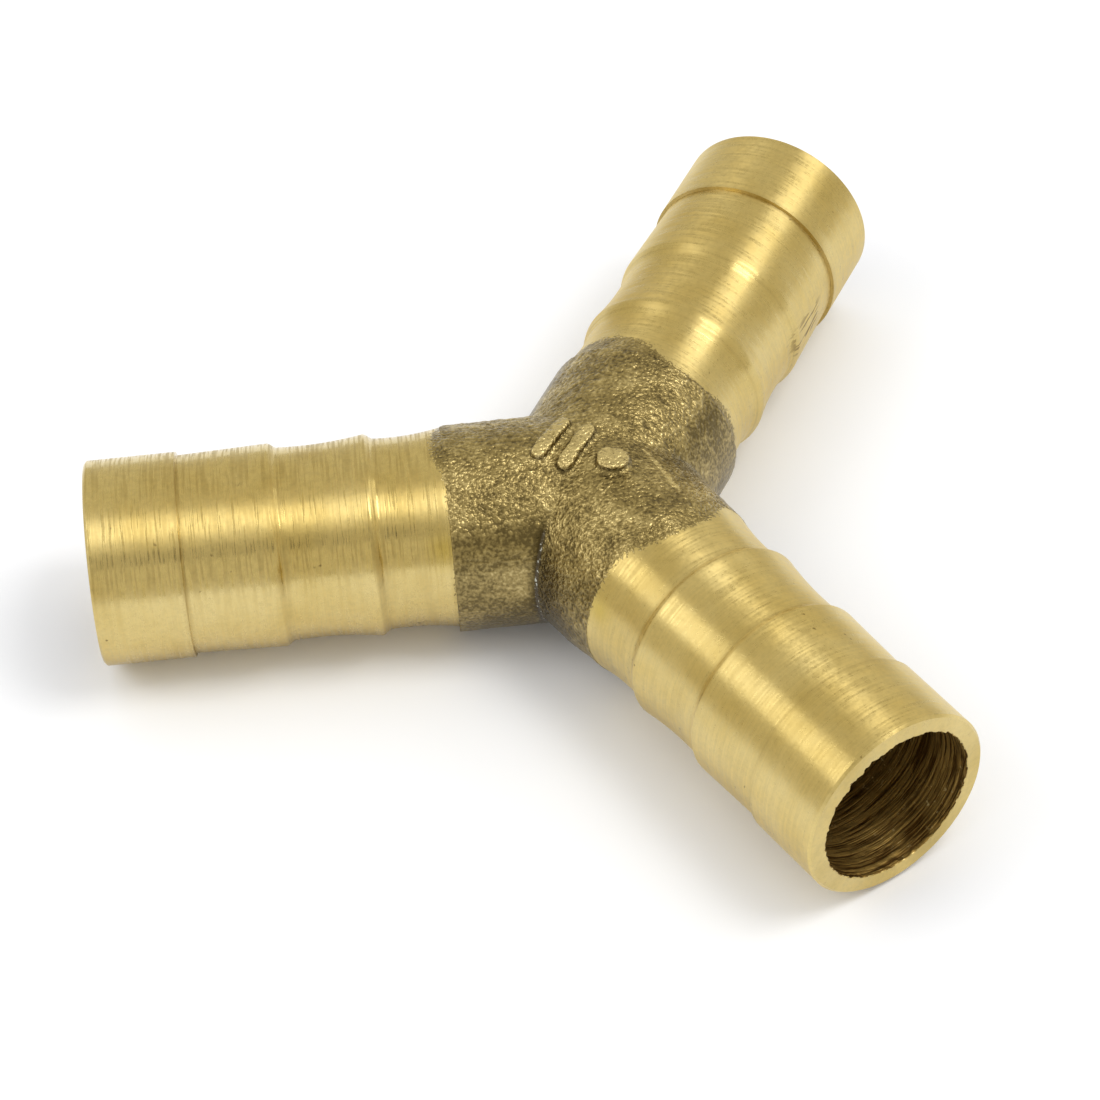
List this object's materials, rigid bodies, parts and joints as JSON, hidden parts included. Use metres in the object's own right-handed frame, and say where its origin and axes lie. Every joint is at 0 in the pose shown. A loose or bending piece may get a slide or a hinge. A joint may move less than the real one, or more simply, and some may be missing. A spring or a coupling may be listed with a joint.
{
  "type": "barbed hose connector",
  "caption": "Brass Y connector for hose: a cast hub joins turned, barbed spigots spaced evenly in one plane, with a bore drilled through each to the centre.",
  "frame": {"origin": "the point where the three turned arm axes meet, which is also the centroid", "axes": "the arms lie in the XY plane: inlet_spigot along -X, outlet_spigot_left at +60 degrees and outlet_spigot_right at -60 degrees from +X; +Z is normal to that plane, towards the raised mark"},
  "size_m": [0.0483, 0.0558, 0.0125],
  "materials": {
    "cast_skin": "rough tarnished as-cast skin",
    "turned_brass": "satin, with fine turning grooves"
  },
  "bodies": {
    "root": {"cast_hub": "cast_skin", "inlet_spigot": "turned_brass", "outlet_spigot_left": "turned_brass", "outlet_spigot_right": "turned_brass"}
  },
  "joints": []
}
